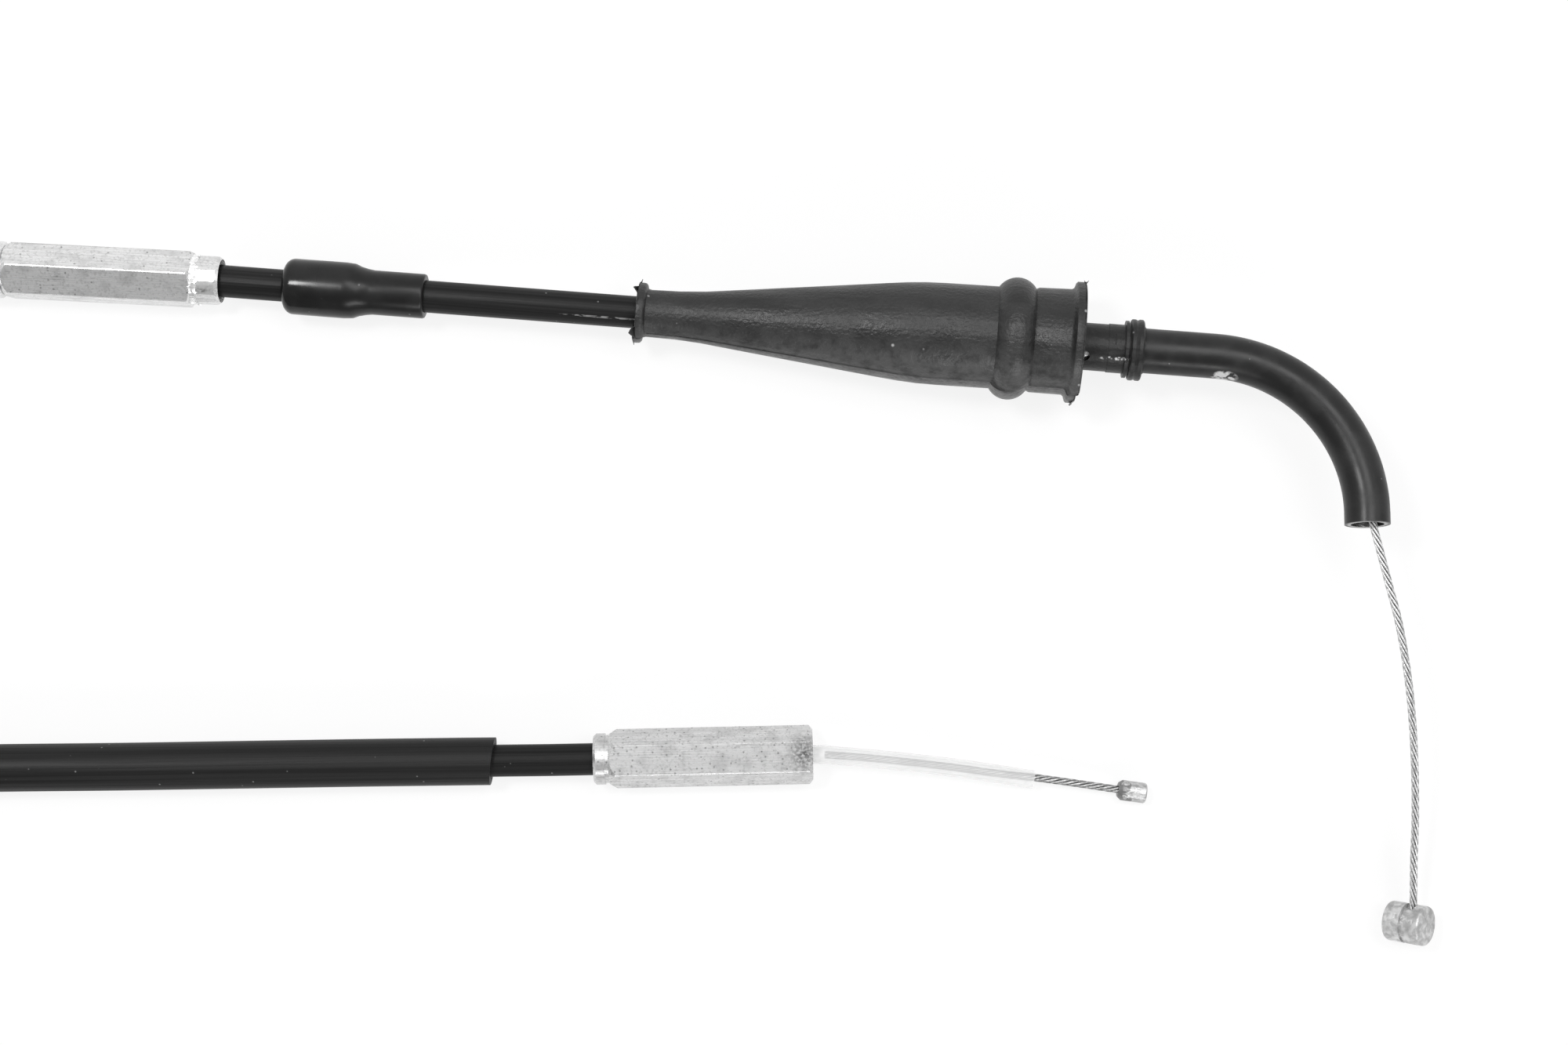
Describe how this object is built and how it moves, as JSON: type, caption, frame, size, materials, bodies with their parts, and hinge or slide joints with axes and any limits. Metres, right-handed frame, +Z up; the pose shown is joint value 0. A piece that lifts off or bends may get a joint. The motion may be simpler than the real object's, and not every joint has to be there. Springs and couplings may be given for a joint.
{
  "type": "throttle control cable",
  "caption": "Control cable with a screw adjuster, dust cap, rubber boot, bent guide pipe, barrel-ended wire and a hexagon end sleeve with a clear liner.",
  "frame": {"origin": "middle of the rigid fittings' box, seen from above, on the surface the cable lies on (the free cable and its coil are left out)", "axes": "+X along the two straight stretches, from the adjuster towards the bent pipe; +Y across them, from the end sleeve towards the adjuster; +Z up from the surface"},
  "size_m": [0.3432, 0.1114, 0.0192],
  "materials": {
    "plated_steel": "satin zinc plate",
    "zinc": "as cast",
    "wire_steel": "stranded",
    "conduit_black": "satin",
    "sleeve_black": "matt",
    "guide_black": "moulded",
    "rubber": "matt",
    "liner_clear": "translucent",
    "tie_black": "satin"
  },
  "bodies": {
    "lower_run": {"adjuster_bolt": "plated_steel", "lead_ferrule": "plated_steel", "conduit_lead": "conduit_black", "sleeve_in": "sleeve_black", "cable_coil": "sleeve_black", "coil_tie_a": "tie_black", "coil_tie_b": "tie_black", "sleeve_out": "sleeve_black", "conduit_tail": "conduit_black", "end_ferrule": "plated_steel", "liner": "liner_clear"},
    "upper_run": {"adjuster_ferrule": "plated_steel", "conduit_upper": "conduit_black", "guide_body": "guide_black", "guide_ferrule": "plated_steel", "elbow_pipe": "plated_steel", "elbow_cover": "conduit_black"},
    "adjuster": {"adjuster_sleeve": "plated_steel"},
    "nut": {"lock_nut": "plated_steel"},
    "cap": {"dust_cap": "rubber"},
    "rubber_boot": {"boot": "rubber"},
    "drum_end": {"throttle_wire": "wire_steel", "barrel_end": "zinc"},
    "slide_end": {"carb_wire": "wire_steel", "carb_end": "plated_steel"},
    "sleeve": {"end_sleeve": "plated_steel"}
  },
  "joints": [
    {"name": "adjuster_travel", "type": "slide", "parent": "lower_run", "child": "upper_run", "axis": [0.9987, -0.0511, 0], "range_m": [0, 0.008]},
    {"name": "adjuster_turn", "type": "hinge", "parent": "upper_run", "child": "adjuster", "pos_m": [-0.08197, 0.04872, 0.0046], "axis": [0.9987, -0.0511, 0], "range_deg": [0, 2880]},
    {"name": "nut_turn", "type": "hinge", "parent": "lower_run", "child": "nut", "pos_m": [-0.09795, 0.04954, 0.0046], "axis": [0.9987, -0.0511, 0], "continuous": true},
    {"name": "cap_slide", "type": "slide", "parent": "upper_run", "child": "cap", "axis": [0.9961, -0.0784, 0.04], "range_m": [-0.0098, 0]},
    {"name": "boot_slide", "type": "slide", "parent": "upper_run", "child": "rubber_boot", "axis": [0.9961, -0.0784, 0.04], "range_m": [-0.03, 0]},
    {"name": "throttle_pull", "type": "slide", "parent": "upper_run", "child": "drum_end", "axis": [0.2554, -0.9668, 0], "range_m": [0, 0.0127]},
    {"name": "slide_pull", "type": "slide", "parent": "lower_run", "child": "slide_end", "axis": [-0.9887, 0.1434, 0.043], "range_m": [0, 0.0127]},
    {"name": "end_sleeve_turn", "type": "hinge", "parent": "lower_run", "child": "sleeve", "pos_m": [0.0129, -0.02643, 0.004], "axis": [0.9998, 0.0218, 0], "continuous": true}
  ],
  "couplings": [
    {"joint": "adjuster_turn", "follows": "adjuster_travel", "rad_per_m": 6283.2},
    {"joint": "slide_pull", "follows": "throttle_pull", "ratio": 1}
  ]
}
